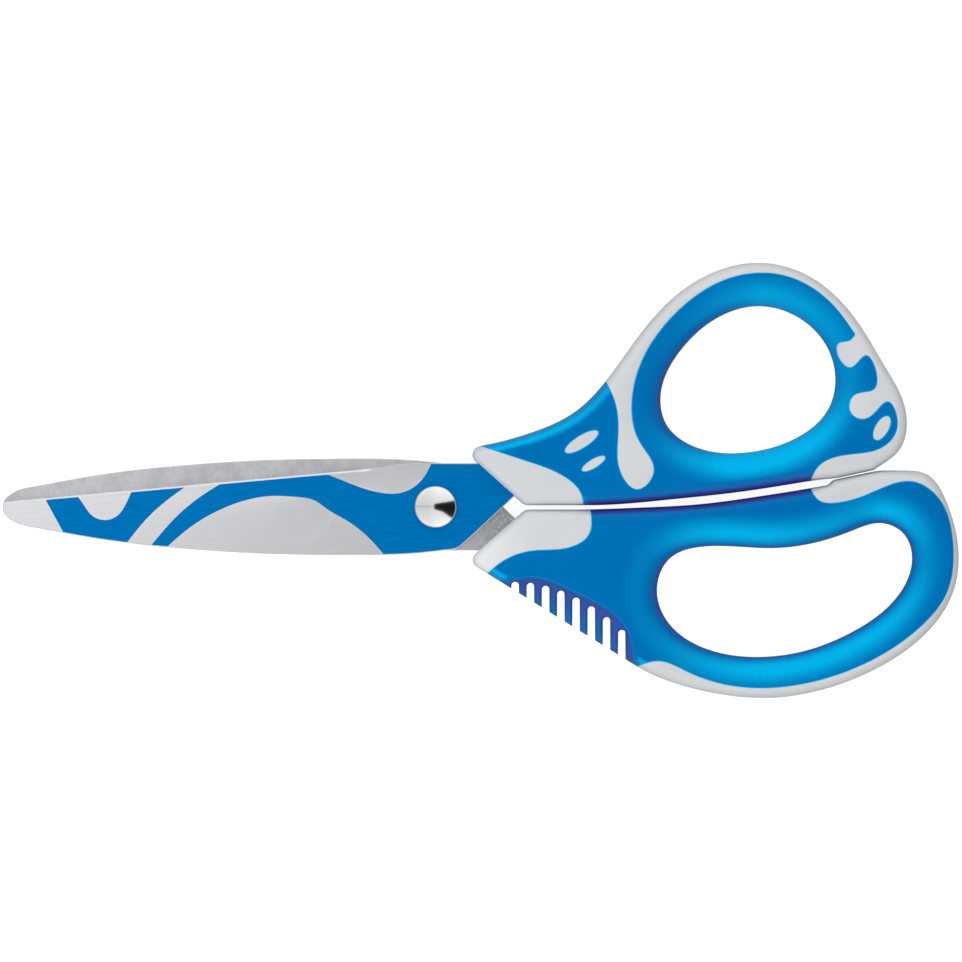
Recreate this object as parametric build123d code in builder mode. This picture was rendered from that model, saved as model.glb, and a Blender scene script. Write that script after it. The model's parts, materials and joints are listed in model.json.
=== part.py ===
"""Office scissors: two mirror-image stamped blades on one screw pivot, each with a two-material handle.

The upper blade carries the thumb handle and turns on the screw. The lower blade carries the finger
handle, the screw and its nut. Each handle is a hard core with a soft grip moulded round its web.

Outlines are drawn from the pivot axis: the tips point to -X, the handles to +X, and +Z is the
printed side. The closed scissors lie on the underside of their handles.
"""

from build123d import *
from math import asin, degrees
import os

# Overall layout
PIVOT_X = -9.95  # pivot axis, from the middle of the closed scissors' box
PIVOT_Y = -5.8
HANDLE_THICK = 11.0
EDGE_RADIUS = 1.6  # rounding of the handles' outer edges
LOOP_RADIUS = 2.6  # rounding of the loops' inner edges
THUMB_NOSE_RADIUS = 2.0  # each handle's nose lies beside the pivot
FINGER_NOSE_RADIUS = 1.8
THROAT_RADIUS = 2.5  # where a nose turns into the slot between the handles
HEEL_RADIUS = 1.5  # rear end of the thumb handle's closing face

# Blades
BLADE_THICK = 1.7
BLADE_GAP = 0.1
BEVEL_FACE = 0.9  # cutting bevel, measured across the blade's face
BEVEL_DEPTH = 0.5  # and through its thickness
RIDE = 9.6  # half width of both blades beside the pivot

# Pivot
HEAD_RADIUS = 4.6
HEAD_RIM = 0.5
HEAD_HEIGHT = 1.9
SHANK_RADIUS = 2.5
THREAD_RADIUS = 2.0
RUNNING_FIT = 0.05
WASHER_RADIUS = 4.2
WASHER_THICK = 0.45
WASHER_LEAN = 0.3  # how much wider the washer is at its top than halfway down
NUT_RADIUS = 4.4
NUT_THICK = 1.4
NUT_ROUNDING = 0.6
NUT_SLOT = 1.2
NUT_SLOT_DEPTH = 0.7
SCREW_RECESS = 0.3  # from the nut's underside in to the screw's end

# Handles
WEB_THICK = 4.4  # hard web inside the soft grip
GRIP_WALL = 1.8  # soft material over the web's edges
COMB_COUNT = 8
COMB_PITCH = 3.35
COMB_START = 17.5
COMB_WIDTH = 1.65
COMB_TOP = -16.5
COMB_FALL = 0.215  # how far each top lies below the first, times the slot's number squared
COMB_REACH = 14.0

MIDDLE = HANDLE_THICK / 2
BACK_TOP = MIDDLE - BLADE_GAP / 2
BACK_BOTTOM = BACK_TOP - BLADE_THICK
FRONT_BOTTOM = MIDDLE + BLADE_GAP / 2
FRONT_TOP = FRONT_BOTTOM + BLADE_THICK


def level(height):
    """The drawing plane at a height, with its origin on the pivot axis."""
    return Plane((PIVOT_X, PIVOT_Y, height))


# ---------------------------------------------------------------- outlines

with BuildSketch() as back_blade_outline:
    with BuildLine():
        tip = ThreePointArc((-94.7, -1.1), (-95.15, 0.5), (-94.0, 2.4))
        spine = Spline(
            (-94.0, 2.4),
            (-92.3, 3.5),
            (-89.0, 4.4),
            (-73.8, 7.1),
            (-56.2, 9.1),
            (-38.6, 10.25),
            (-21.0, 10.6),
            (-3.4, 10.15),
            (4.0, 9.3),
        )
        shoulder = Spline(spine @ 1, (6.3, 7.9), (8.2, 6.2), tangents=(spine % 1, (1, -0.93)))
        tang_end = ThreePointArc((38.0, -9.0), (40.6, -12.3), (37.4, -15.0))
        Polyline(shoulder @ 1, (17.6, -2.6), (23.0, -5.0), tang_end @ 0)
        ride = Line(tang_end @ 1, (14.0, -10.9))
        heel = Spline((-16.7, -8.12), (-12.0, -8.75), (-7.8, -9.4), (-4.0, -RIDE))
        Polyline(ride @ 1, (10.0, -RIDE), heel @ 1)
        edge = Line(heel @ 0, tip @ 0)
    make_face()

with BuildSketch() as thumb_outline:
    with BuildLine():
        top = Spline(
            (12.0, 13.85),
            (20.3, 16.1),
            (30.9, 21.1),
            (37.9, 28.3),
            (44.5, 37.4),
            (53.3, 46.9),
            (60.4, 51.3),
            (70.9, 53.7),
            (81.7, 51.0),
            (92.2, 41.6),
            (98.8, 31.0),
            (103.4, 21.2),
            (102.0, 12.5),
            (96.4, 8.1),
            tangents=((1, 0.2), (-0.8, -0.6)),
        )
        closing_face = Line(top @ 1, (88.7, 6.4))
        underside = Spline(
            closing_face @ 1,
            (78.0, 5.1),
            (64.8, 3.0),
            (51.6, 1.6),
            (34.0, 0.35),
            tangents=(closing_face % 1, (-1, 0)),
        )
        throat = (19.5, 0.35)
        nose = (5.8, 12.6)
        Polyline(underside @ 1, throat, nose, top @ 0)
    make_face()
    fillet(thumb_outline.vertices().sort_by_distance(nose)[0], radius=THUMB_NOSE_RADIUS)
    fillet(thumb_outline.vertices().sort_by_distance(throat)[0], radius=THROAT_RADIUS)
    fillet(thumb_outline.vertices().sort_by_distance(top @ 1)[0], radius=HEEL_RADIUS)

with BuildSketch() as thumb_loop:
    with BuildLine():
        Spline(
            (87.4, 28.6),
            (85.2, 35.7),
            (79.5, 41.5),
            (70.5, 44.0),
            (61.5, 41.1),
            (53.9, 34.0),
            (49.9, 25.3),
            (51.0, 18.3),
            (58.0, 13.3),
            (68.7, 12.4),
            (79.0, 15.4),
            (85.7, 21.5),
            periodic=True,
        )
    make_face()

with BuildSketch() as finger_outline:
    with BuildLine():
        under = Spline(
            (44.1, -35.0),
            (52.3, -38.7),
            (60.8, -40.9),
            (74.8, -42.0),
            (85.9, -40.0),
            (98.1, -35.0),
            (108.5, -27.2),
            (113.9, -18.6),
            (115.0, -9.5),
            (112.6, 0.6),
            (107.8, 7.3),
            (102.2, 8.0),
            (96.0, 7.7),
            tangents=((1, -0.62), (-1, -0.21)),
        )
        closing_face = Line(under @ 1, (89.0, 6.23))
        step = Spline(closing_face @ 1, (84.6, 4.5), tangents=(closing_face % 1, (-1, -0.18)))
        upper_side = Spline(
            step @ 1,
            (71.4, 2.4),
            (58.2, 0.6),
            (44.0, -0.2),
            (30.0, -0.6),
            tangents=(step % 1, (-1, 0)),
        )
        throat = (19.7, -0.6)
        nose = (6.93, -11.93)
        Polyline(upper_side @ 1, throat, nose, under @ 0)
    make_face()
    fillet(finger_outline.vertices().sort_by_distance(nose)[0], radius=FINGER_NOSE_RADIUS)
    fillet(finger_outline.vertices().sort_by_distance(throat)[0], radius=THROAT_RADIUS)

with BuildSketch() as finger_loop:
    with BuildLine():
        Spline(
            (104.8, -11.2),
            (102.9, -5.9),
            (98.0, -3.6),
            (91.8, -5.2),
            (83.9, -7.8),
            (73.7, -9.1),
            (58.5, -8.8),
            (51.6, -11.3),
            (48.7, -18.7),
            (51.8, -26.2),
            (60.7, -31.6),
            (71.4, -33.0),
            (81.8, -31.5),
            (92.0, -27.3),
            (101.4, -19.9),
            periodic=True,
        )
    make_face()

# Windows in the thumb grip where the hard core comes through: centre, half length, half width, turn.
WINDOWS = [((32.1, 14.3), 4.2, 1.3, 32), ((34.7, 9.5), 2.9, 0.9, 31), ((98.0, 17.3), 2.9, 1.4, 60)]

# Soft areas, drawn past the handle wherever they reach its outer wall.
with BuildSketch() as thumb_soft_area:
    with BuildLine():
        brow = Spline((32.5, -2.0), (31.8, 3.1), (27.4, 7.1), (20.3, 9.9), (13.3, 12.2), (7.0, 14.3))
        drip = Spline(
            (36.9, 28.6),
            (39.6, 22.6),
            (40.1, 14.5),
            (40.6, 7.9),
            (44.4, 3.9),
            (47.8, 7.4),
            (44.9, 14.0),
            (43.0, 21.9),
            (44.6, 30.5),
            (52.4, 42.3),
            (64.9, 50.4),
            (76.8, 50.8),
            (87.4, 44.3),
            (92.2, 37.9),
        )
        blots = Spline(
            drip @ 1,
            (91.0, 36.5),
            (88.6, 35.9),
            (88.8, 32.6),
            (91.2, 30.7),
            (94.3, 33.3),
            (96.9, 29.3),
            (96.2, 25.7),
            (91.9, 24.4),
            (91.2, 20.8),
            (94.3, 19.4),
            (99.3, 23.2),
            (101.5, 18.2),
            (97.7, 12.8),
            (88.3, 11.0),
            (83.9, 8.6),
            (82.2, 4.6),
        )
        Polyline(brow @ 1, (8.0, 20.0), (28.0, 27.0), drip @ 0)
        Polyline(blots @ 1, (82.2, 0.0), brow @ 0)
    make_face()
    for centre, half_length, half_width, turn in WINDOWS:
        with Locations(centre):
            Ellipse(half_length, half_width, rotation=turn, mode=Mode.SUBTRACT)

with BuildSketch() as finger_soft_area:
    with BuildLine():
        brow = Spline(
            (9.8, -16.2), (14.4, -12.1), (21.0, -9.6), (29.1, -8.9), (33.4, -6.4), (33.7, 0.8)
        )
        rim = Spline(
            (82.0, 5.4),
            (84.2, 1.5),
            (89.0, 1.1),
            (95.7, 3.2),
            (104.9, 5.6),
            (110.5, 2.0),
            (113.6, -7.0),
            (112.2, -19.1),
            (105.7, -27.1),
            (93.1, -35.0),
            (80.7, -38.9),
            (68.3, -39.7),
            (55.2, -36.2),
            (49.1, -33.9),
            (42.6, -36.0),
        )
        Polyline(brow @ 1, (33.7, 4.0), (82.0, 9.0), rim @ 0)
        Polyline(rim @ 1, (41.0, -39.0), (8.0, -20.0), brow @ 0)
    make_face()


def grown(loop, wall):
    """A loop's outline spread outwards from its middle by a wall's thickness on every side."""
    box = loop.sketch.bounding_box()
    middle = box.center()
    centred = loop.sketch.moved(Location(-middle))
    spread = scale(centred, by=(1 + 2 * wall / box.size.X, 1 + 2 * wall / box.size.Y, 1))
    return spread.moved(Location(middle))


thumb_web_loop = grown(thumb_loop, GRIP_WALL)
finger_web_loop = grown(finger_loop, GRIP_WALL)

# Hard webs inside the soft grips. They meet the hard rim, and stay inside the grip elsewhere.
with BuildSketch() as thumb_web:
    with BuildLine():
        Spline(
            (22.0, 2.6),
            (45.0, 3.0),
            (65.0, 5.0),
            (84.0, 8.0),
            (96.0, 10.5),
            (101.0, 20.0),
            (91.0, 40.0),
            (71.0, 51.5),
            (56.0, 46.0),
            (42.5, 31.0),
            (33.0, 20.2),
            (20.5, 14.6),
            (13.0, 11.6),
            (13.5, 6.5),
            periodic=True,
        )
    make_face()
    add(thumb_web_loop, mode=Mode.SUBTRACT)

with BuildSketch() as finger_web:
    with BuildLine():
        Spline(
            (22.0, -2.8),
            (45.0, -2.4),
            (65.0, -1.0),
            (84.0, 2.0),
            (100.0, 5.5),
            (109.5, 1.5),
            (112.6, -10.0),
            (104.5, -26.5),
            (86.0, -37.0),
            (70.0, -39.6),
            (55.0, -36.4),
            (47.0, -30.0),
            (38.0, -19.0),
            (25.0, -14.8),
            (16.5, -13.2),
            (12.0, -10.0),
            (15.0, -6.0),
            periodic=True,
        )
    make_face()
    add(finger_web_loop, mode=Mode.SUBTRACT)

# Round-topped slots through the underside of the finger grip. Their tops fall away as a parabola.
with BuildSketch() as comb:
    for slot_number in range(COMB_COUNT):
        slot_x = COMB_START + slot_number * COMB_PITCH
        slot_top = COMB_TOP - COMB_FALL * slot_number**2
        with Locations((slot_x, slot_top - COMB_REACH / 2)):
            SlotOverall(COMB_REACH, COMB_WIDTH, rotation=90)


# ---------------------------------------------------------------- blades

with BuildPart() as back_blade:
    with BuildSketch(level(BACK_BOTTOM)):
        add(back_blade_outline.sketch)
        Circle(SHANK_RADIUS, mode=Mode.SUBTRACT)
    extrude(amount=BLADE_THICK)
    cutting_edge = (
        back_blade.edges()
        .filter_by(GeomType.LINE)
        .filter_by_position(Axis.Z, BACK_BOTTOM, BACK_BOTTOM)
        .sort_by(SortBy.LENGTH)[-1]
    )
    chamfer(cutting_edge, length=BEVEL_DEPTH, length2=BEVEL_FACE)
back_blade.part.label = "back_blade"

with BuildPart() as front_blade:
    with BuildSketch(level(FRONT_BOTTOM)):
        add(back_blade_outline.sketch)
        mirror(about=Plane.XZ, mode=Mode.REPLACE)
        Circle(SHANK_RADIUS + RUNNING_FIT, mode=Mode.SUBTRACT)
    extrude(amount=BLADE_THICK)
    cutting_edge = (
        front_blade.edges()
        .filter_by(GeomType.LINE)
        .filter_by_position(Axis.Z, FRONT_TOP, FRONT_TOP)
        .sort_by(SortBy.LENGTH)[-1]
    )
    chamfer(cutting_edge, length=BEVEL_DEPTH, length2=BEVEL_FACE)
front_blade.part.label = "front_blade"


# ---------------------------------------------------------------- pivot

with BuildPart() as pivot_screw:
    with BuildSketch(Plane((PIVOT_X, PIVOT_Y, 0), x_dir=(1, 0, 0), z_dir=(0, -1, 0))):
        head_seat = FRONT_TOP + RUNNING_FIT
        washer_bottom = BACK_BOTTOM - WASHER_THICK
        nut_bottom = washer_bottom - NUT_THICK
        with BuildLine():
            crown_rise = HEAD_HEIGHT - HEAD_RIM
            crown_radius = (HEAD_RADIUS**2 + crown_rise**2) / (2 * crown_rise)
            CenterArc(
                (0, head_seat + HEAD_HEIGHT - crown_radius),
                crown_radius,
                90,
                -degrees(asin(HEAD_RADIUS / crown_radius)),
            )
            Polyline(
                (0, head_seat + HEAD_HEIGHT),
                (0, nut_bottom + SCREW_RECESS),
                (THREAD_RADIUS, nut_bottom + SCREW_RECESS),
                (THREAD_RADIUS, washer_bottom),
                (SHANK_RADIUS, washer_bottom),
                (SHANK_RADIUS, head_seat),
                (HEAD_RADIUS, head_seat),
                (HEAD_RADIUS, head_seat + HEAD_RIM),
            )
        make_face()
    revolve(axis=Axis((PIVOT_X, PIVOT_Y, 0), (0, 0, 1)))
pivot_screw.part.label = "pivot_screw"

with BuildPart() as spring_washer:
    with BuildSketch(Plane((PIVOT_X, PIVOT_Y, 0), x_dir=(1, 0, 0), z_dir=(0, -1, 0))):
        with BuildLine():
            Polyline(
                (SHANK_RADIUS + RUNNING_FIT, washer_bottom),
                (WASHER_RADIUS - WASHER_LEAN, BACK_BOTTOM - WASHER_THICK / 2),
                (WASHER_RADIUS, BACK_BOTTOM),
                (SHANK_RADIUS + RUNNING_FIT, BACK_BOTTOM - WASHER_THICK / 2),
                close=True,
            )
        make_face()
    revolve(axis=Axis((PIVOT_X, PIVOT_Y, 0), (0, 0, 1)))
spring_washer.part.label = "spring_washer"

with BuildPart() as pivot_nut:
    with BuildSketch(level(nut_bottom)):
        Circle(NUT_RADIUS)
    extrude(amount=NUT_THICK)
    fillet(pivot_nut.edges().sort_by(Axis.Z)[0], radius=NUT_ROUNDING)
    with BuildSketch(level(nut_bottom)):
        Rectangle(2 * NUT_RADIUS, NUT_SLOT)
    extrude(amount=NUT_SLOT_DEPTH, mode=Mode.SUBTRACT)
    with BuildSketch(level(nut_bottom)):
        Circle(THREAD_RADIUS)
    extrude(amount=NUT_THICK, mode=Mode.SUBTRACT)
pivot_nut.part.label = "pivot_nut"


# ---------------------------------------------------------------- handles


def rounded_handle(outline, loop):
    """A handle's whole body: its outline with the loop cut out, and every rim rounded."""
    with BuildPart() as handle:
        with BuildSketch(level(0)):
            add(outline.sketch)
        extrude(amount=HANDLE_THICK)
        fillet(handle.faces().filter_by(Axis.Z).edges(), radius=EDGE_RADIUS)
        with BuildSketch(level(0)):
            add(loop.sketch)
        extrude(amount=HANDLE_THICK, mode=Mode.SUBTRACT)
        flat_faces = handle.faces().filter_by(Axis.Z)
        fillet([face.inner_wires()[0].edge() for face in flat_faces], radius=LOOP_RADIUS)
    return handle.part


def soft_zone(area, web):
    """The space a soft grip fills: its area, through the whole handle, less the hard web."""
    with BuildPart() as zone:
        with BuildSketch(level(0)):
            add(area.sketch)
        extrude(amount=HANDLE_THICK)
        with BuildSketch(level(MIDDLE - WEB_THICK / 2)):
            add(web.sketch)
        extrude(amount=WEB_THICK, mode=Mode.SUBTRACT)
    return zone.part


thumb_body = rounded_handle(thumb_outline, thumb_loop)
thumb_soft_zone = soft_zone(thumb_soft_area, thumb_web)

with BuildPart() as thumb_handle_grip:
    add(thumb_body)
    add(thumb_soft_zone, mode=Mode.INTERSECT)
thumb_handle_grip.part.label = "thumb_handle_grip"

with BuildPart() as thumb_handle_core:
    add(thumb_body)
    add(thumb_soft_zone, mode=Mode.SUBTRACT)
    add(front_blade.part, mode=Mode.SUBTRACT)
thumb_handle_core.part.label = "thumb_handle_core"

finger_body = rounded_handle(finger_outline, finger_loop)
finger_soft_zone = soft_zone(finger_soft_area, finger_web)

with BuildPart() as finger_handle_grip:
    add(finger_body)
    add(finger_soft_zone, mode=Mode.INTERSECT)
    with BuildSketch(level(0)):
        add(comb.sketch)
    extrude(amount=HANDLE_THICK, mode=Mode.SUBTRACT)
finger_handle_grip.part.label = "finger_handle_grip"

with BuildPart() as finger_handle_core:
    add(finger_body)
    add(finger_soft_zone, mode=Mode.SUBTRACT)
    add(back_blade.part, mode=Mode.SUBTRACT)
finger_handle_core.part.label = "finger_handle_core"


# ---------------------------------------------------------------- files

PIECES = [
    front_blade,
    back_blade,
    thumb_handle_core,
    thumb_handle_grip,
    finger_handle_core,
    finger_handle_grip,
    pivot_screw,
    spring_washer,
    pivot_nut,
]
os.makedirs("parts", exist_ok=True)
for piece in PIECES:
    export_step(piece.part, f"parts/{piece.part.label}.step")
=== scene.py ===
"""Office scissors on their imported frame: two-material handles, printed steel blades, a chrome pivot."""

import bpy
import json
import math
import numpy as np
from mathutils import Matrix, Vector
from mathutils.geometry import delaunay_2d_cdt


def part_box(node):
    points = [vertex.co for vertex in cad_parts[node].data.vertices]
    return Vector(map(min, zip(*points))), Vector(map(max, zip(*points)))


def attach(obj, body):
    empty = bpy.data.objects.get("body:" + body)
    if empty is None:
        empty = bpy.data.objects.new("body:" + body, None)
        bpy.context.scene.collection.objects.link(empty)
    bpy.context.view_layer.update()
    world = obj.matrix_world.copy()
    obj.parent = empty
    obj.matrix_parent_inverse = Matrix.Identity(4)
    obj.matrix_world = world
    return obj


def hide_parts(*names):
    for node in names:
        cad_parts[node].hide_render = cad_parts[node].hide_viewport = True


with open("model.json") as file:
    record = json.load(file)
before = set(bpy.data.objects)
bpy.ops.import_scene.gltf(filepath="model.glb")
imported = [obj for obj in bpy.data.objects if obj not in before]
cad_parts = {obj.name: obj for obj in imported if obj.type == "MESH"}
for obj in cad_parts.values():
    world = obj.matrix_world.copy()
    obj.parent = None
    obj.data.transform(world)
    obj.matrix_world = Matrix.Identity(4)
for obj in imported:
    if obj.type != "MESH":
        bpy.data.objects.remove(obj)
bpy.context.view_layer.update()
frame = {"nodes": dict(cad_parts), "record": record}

MM = 0.001
PIVOT = np.array(frame["record"]["behaviour"]["joints"][0]["pos_m"])
HANDLE_LOW, HANDLE_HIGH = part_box("finger_handle_core")
MIDDLE = (HANDLE_LOW[2] + HANDLE_HIGH[2]) / 2 / MM  # height of the handles' parting plane, mm
HALF_THICK = (HANDLE_HIGH[2] - HANDLE_LOW[2]) / 2 / MM  # half the handles' thickness, mm


# ------------------------------------------------------------------ curves in plan, mm from the pivot


def evenly(points, step):
    """Walks a polyline and drops a point every step along it, keeping both ends."""
    lengths = np.r_[0, np.cumsum(np.hypot(*np.diff(points, axis=0).T))]
    count = max(int(round(lengths[-1] / step)), 2)
    at = np.linspace(0, lengths[-1], count + 1)
    return np.c_[np.interp(at, lengths, points[:, 0]), np.interp(at, lengths, points[:, 1])]


def curve(points, closed=False, start=None, end=None, step=0.3):
    """A cubic spline through points, its parameter the chord length, with equal curvature each side of one.

    The second derivatives solve one linear system. An open end has no curvature, or runs along the direction
    that start or end gives.
    """
    points = np.array(points, float)
    if closed:
        points = np.vstack([points, points[:1]])
    chord = np.hypot(*np.diff(points, axis=0).T)
    slope = np.diff(points, axis=0) / chord[:, None]
    count = len(points)
    matrix = np.zeros((count, count))
    right = np.zeros((count, 2))
    inner = np.arange(1, count - 1)
    matrix[inner, inner - 1] = chord[:-1]
    matrix[inner, inner] = 2 * (chord[:-1] + chord[1:])
    matrix[inner, inner + 1] = chord[1:]
    right[inner] = 6 * (slope[1:] - slope[:-1])
    matrix[0, 0] = matrix[-1, -1] = 1
    if closed:
        matrix[0, -1] = -1
        matrix[-1, [0, 1]] = 2 * chord[0], chord[0]
        matrix[-1, [-2, -1]] = chord[-1], 2 * chord[-1]
        right[-1] = 6 * (slope[0] - slope[-1])
    if start is not None:
        matrix[0, [0, 1]] = 2 * chord[0], chord[0]
        right[0] = 6 * (slope[0] - np.array(start) / np.hypot(*start))
    if end is not None:
        matrix[-1, [-2, -1]] = chord[-1], 2 * chord[-1]
        right[-1] = 6 * (np.array(end) / np.hypot(*end) - slope[-1])
    bend = np.linalg.solve(matrix, right)
    t = np.linspace(0, 1, 25)[None, :, None]
    h = chord[:, None, None]
    a, b = points[:-1, None], points[1:, None]
    ba, bb = bend[:-1, None], bend[1:, None]
    u = 1 - t
    path = a * u + b * t + h * h / 6 * ((u**3 - u) * ba + (t**3 - t) * bb)
    return evenly(path.reshape(-1, 2), step)


def corner(before, tip, after, radius, step=0.3):
    """The arc that rounds the corner at tip between two straight sides."""
    before, tip, after = (np.array(p, float) for p in (before, tip, after))
    one = (before - tip) / np.hypot(*(before - tip))
    two = (after - tip) / np.hypot(*(after - tip))
    half = math.acos(np.dot(one, two)) / 2
    bisector = (one + two) / np.hypot(*(one + two))
    centre = tip + bisector * radius / math.sin(half)
    first = tip + one * radius / math.tan(half) - centre
    last = tip + two * radius / math.tan(half) - centre
    turn = math.atan2(first[0] * last[1] - first[1] * last[0], np.dot(first, last))
    count = max(int(abs(turn) * radius / step), 5) + 1
    angle = math.atan2(first[1], first[0]) + np.linspace(0, turn, count)
    return centre + radius * np.c_[np.cos(angle), np.sin(angle)]


def loop(*runs, step=0.3):
    """Joins runs of points into one closed outline with evenly spaced points along its straight parts."""
    points = np.vstack([np.atleast_2d(run) for run in runs])
    points = np.vstack([points, points[:1]])
    gaps = np.hypot(*np.diff(points, axis=0).T)
    pieces = []
    for a, b, gap in zip(points[:-1], points[1:], gaps):
        if gap > 1e-4:
            count = max(int(round(gap / step)), 1)
            pieces.append(a + (b - a) * np.linspace(0, 1, count, endpoint=False)[:, None])
    return np.vstack(pieces)


def inside(points, outline):
    """Whether each point is in a closed outline, by counting crossings of a ray towards +X."""
    x, y = points[:, 0][:, None], points[:, 1][:, None]
    (x0, y0), (x1, y1) = outline.T, np.roll(outline, -1, axis=0).T
    rises = (y0 > y) != (y1 > y)
    drop = np.where(y1 == y0, 1, y1 - y0)
    crossing = x0 + (y - y0) * (x1 - x0) / drop
    return (rises & (x < crossing)).sum(axis=1) % 2 == 1


def distance(points, lines, block=2000):
    """Distance of each point to the nearest segment of any of the polylines, which may be closed."""
    ax, ay = np.vstack([line[:-1] for line in lines]).astype(np.float32).T
    bx, by = np.vstack([line[1:] for line in lines]).astype(np.float32).T
    ux, uy = bx - ax, by - ay
    square = np.maximum(ux * ux + uy * uy, 1e-9)
    out = np.empty(len(points))
    for low in range(0, len(points), block):
        x, y = points[low : low + block].astype(np.float32).T[:, :, None]
        x, y = x - ax, y - ay
        t = np.clip((x * ux + y * uy) / square, 0, 1)
        out[low : low + block] = ((x - t * ux) ** 2 + (y - t * uy) ** 2).min(axis=1)
    return np.sqrt(out)


def closed(outline):
    return np.vstack([outline, outline[:1]])


def rows(line, offsets, spacing):
    """Rows of points beside a polyline, at signed offsets to its left, spaced along it."""
    line = evenly(line, spacing)
    heading = np.gradient(line, axis=0)
    left = np.c_[-heading[:, 1], heading[:, 0]] / np.hypot(*heading.T)[:, None]
    return np.vstack([line + left * offset for offset in offsets])


# ------------------------------------------------------------------ bodies from plan triangles


def triangulate(lines, spots):
    """Triangles that follow every polyline in the plane and use every spot: their corners and indices."""
    corners = np.vstack([*lines, spots])
    edges = []
    first = 0
    for line in lines:
        index = np.arange(first, first + len(line) - 1)
        edges.append(np.c_[index, index + 1])
        first += len(line)
    vectors = [Vector(p) for p in corners.tolist()]
    found = delaunay_2d_cdt(vectors, np.vstack(edges).tolist(), [], 0, 1e-5, False)
    return np.array([v[:] for v in found[0]]), np.array(found[2])


def build(name, corners, triangles, keep, top, bottom, painted_shading=None, sharp=50, pinch=1e-4):
    """A closed body over the kept triangles, between two heights at each corner.

    The upper skin is the triangles at the top heights, and the lower skin the same ones turned over at the
    bottom heights. They share a corner where the heights meet to within the pinch, and a triangle with no
    thickness at any corner is left out. Walls close every other open side. A value of painted light and shade
    for each corner is kept with the mesh, to be painted into its colour.
    """
    triangles = triangles[keep]
    triangles = triangles[(top - bottom > pinch)[triangles].any(axis=1)]
    used, triangles = np.unique(triangles, return_inverse=True)
    triangles = triangles.reshape(-1, 3)
    p, top, bottom = corners[used], top[used], bottom[used]
    a, b, c = p[triangles].transpose(1, 0, 2)
    flipped = (b - a)[:, 0] * (c - a)[:, 1] - (b - a)[:, 1] * (c - a)[:, 0] < 0
    triangles[flipped] = triangles[flipped][:, ::-1]
    split = top - bottom > pinch
    under = np.arange(len(p))
    under[split] = len(p) + np.arange(split.sum())
    places = np.vstack([np.c_[p, np.where(split, top, (top + bottom) / 2)], np.c_[p, bottom][split]])
    sides = np.vstack([triangles[:, [0, 1]], triangles[:, [1, 2]], triangles[:, [2, 0]]])
    key = sides[:, 0] * len(p) + sides[:, 1]
    twin = sides[:, 1] * len(p) + sides[:, 0]
    rim = sides[~np.isin(key, twin)]
    one, two = rim.T
    wall_a = np.c_[one, under[one], under[two]][split[one]]
    wall_b = np.c_[one, under[two], two][split[two]]
    faces = np.vstack([triangles, under[triangles][:, ::-1], wall_a, wall_b])
    piece = mesh_piece(name, places * MM + [PIVOT[0], PIVOT[1], 0], faces, sharp)
    # the painted light and shade for each corner, kept as a mesh attribute
    if painted_shading is not None:
        kept = painted_shading[used]
        stored = piece.data.attributes.new("painted_shading", "FLOAT", "POINT")
        stored.data.foreach_set("value", np.r_[kept, kept[split]])
    return piece


def facing(corners, triangles, rise):
    """The unit normal at each corner of a height field: its triangles' normals, weighed by their area."""
    places = np.c_[corners, rise]
    a, b, c = places[triangles].transpose(1, 0, 2)
    normal = np.cross(b - a, c - a)
    normal *= np.sign(normal[:, 2:] + 1e-12)
    total = np.zeros_like(places)
    for side in range(3):
        np.add.at(total, triangles[:, side], normal)
    return total / np.maximum(np.linalg.norm(total, axis=1), 1e-12)[:, None]


def mesh_piece(name, places, faces, sharp):
    """An object from corner places in metres and faces."""
    mesh = bpy.data.meshes.new(name)
    mesh.from_pydata(places.tolist(), [], faces.tolist())
    return finished(name, mesh, sharp)


def placed(name, data):
    """A new object, linked into the scene."""
    made = bpy.data.objects.new(name, data)
    bpy.context.scene.collection.objects.link(made)
    return made


def finished(name, mesh, sharp=50):
    """The object of a mesh, shaded smooth but for folds past the sharp angle."""
    mesh.update()
    mesh.shade_smooth()
    mesh.set_sharp_from_angle(angle=math.radians(sharp))
    return placed(name, mesh)


def quarter(gap, reach, power):
    """Rises from 0 at an edge to 1 at a reach inside it, as a superellipse's quarter."""
    return (1 - np.clip(1 - gap / reach, 0, 1) ** power) ** (1 / power)


def smooth(value, low, high):
    """An S-shaped step from 0 at low to 1 at high."""
    t = np.clip((value - low) / (high - low), 0, 1)
    return t * t * (3 - 2 * t)


def groove(gap, radius):
    """How far a small rounded edge falls below the surface beside it."""
    t = np.clip(1 - gap / radius, 0, 1)
    return radius * (1 - np.sqrt(1 - t * t))


# ------------------------------------------------------------------ handle outlines

THUMB_TOP = curve(
    [
        (12.0, 13.85), (20.3, 16.1), (30.9, 21.1), (37.9, 28.3), (44.5, 37.4), (53.3, 46.9),
        (60.4, 51.3), (70.9, 53.7), (81.7, 51.0), (92.2, 41.6), (98.8, 31.0), (103.4, 21.2),
        (102.0, 12.5), (96.4, 8.1),
    ],
    start=(1, 0.2),
    end=(-0.8, -0.6),
)
THUMB_UNDER = curve(
    [(88.7, 6.4), (85.0, 6.0), (82.0, 5.6), (78.0, 4.95), (64.8, 3.0), (51.6, 1.6), (34.0, 0.35)],
    start=(-1, -0.12),
    end=(-1, 0),
)
THUMB_OUTLINE = loop(
    THUMB_TOP,
    THUMB_UNDER,
    corner((34.0, 0.35), (19.5, 0.35), (5.8, 12.6), 2.5),
    corner((19.5, 0.35), (5.8, 12.6), (12.0, 13.85), 2.0),
)
THUMB_LOOP = curve(
    [
        (87.9, 28.6), (85.7, 35.8), (79.8, 41.6), (70.5, 44.1), (61.4, 41.2), (53.6, 34.0),
        (49.6, 25.3), (50.8, 18.1), (57.9, 12.9), (68.7, 12.0), (79.2, 15.1), (86.3, 21.4),
    ],
    closed=True,
)
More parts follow.
